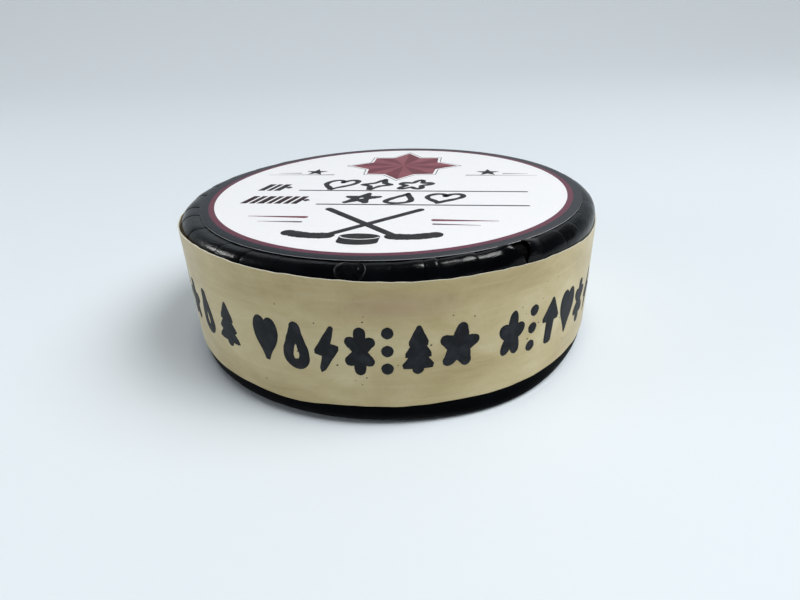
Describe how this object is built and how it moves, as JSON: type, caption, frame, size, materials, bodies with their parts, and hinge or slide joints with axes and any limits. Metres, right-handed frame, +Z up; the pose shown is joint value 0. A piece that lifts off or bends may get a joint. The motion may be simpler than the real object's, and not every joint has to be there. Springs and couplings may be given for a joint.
{
  "type": "hockey puck",
  "caption": "Round rubber puck dressed with black tape folded over both edges, a tan paper band round its side, a round printed label on top and a small dot on the edge.",
  "frame": {"origin": "middle of the face that the puck rests on", "axes": "+Z up through the puck's thickness, -Y towards the front of the band, +X to the right when seen from the front"},
  "size_m": [0.0772, 0.0772, 0.0261],
  "materials": {
    "vulcanised_rubber": "matt moulded rubber with a diamond knurl",
    "black_tape": "satin black tape with pleats and fine creases",
    "tan_paper": "creped masking paper, mottled and slightly translucent",
    "label_paper": "smooth coated white paper with a printed border",
    "clear_dot": "thin glossy patch, almost as dark as the tape under it",
    "marker_ink": "black marker ink, soaked in at the stroke edges",
    "print_ink": "dark red and dark grey printing ink"
  },
  "bodies": {
    "root": {"puck_core": "vulcanised_rubber", "edge_wrap": "black_tape", "side_band": "tan_paper", "top_label": "label_paper", "edge_dot": "clear_dot"}
  },
  "joints": []
}
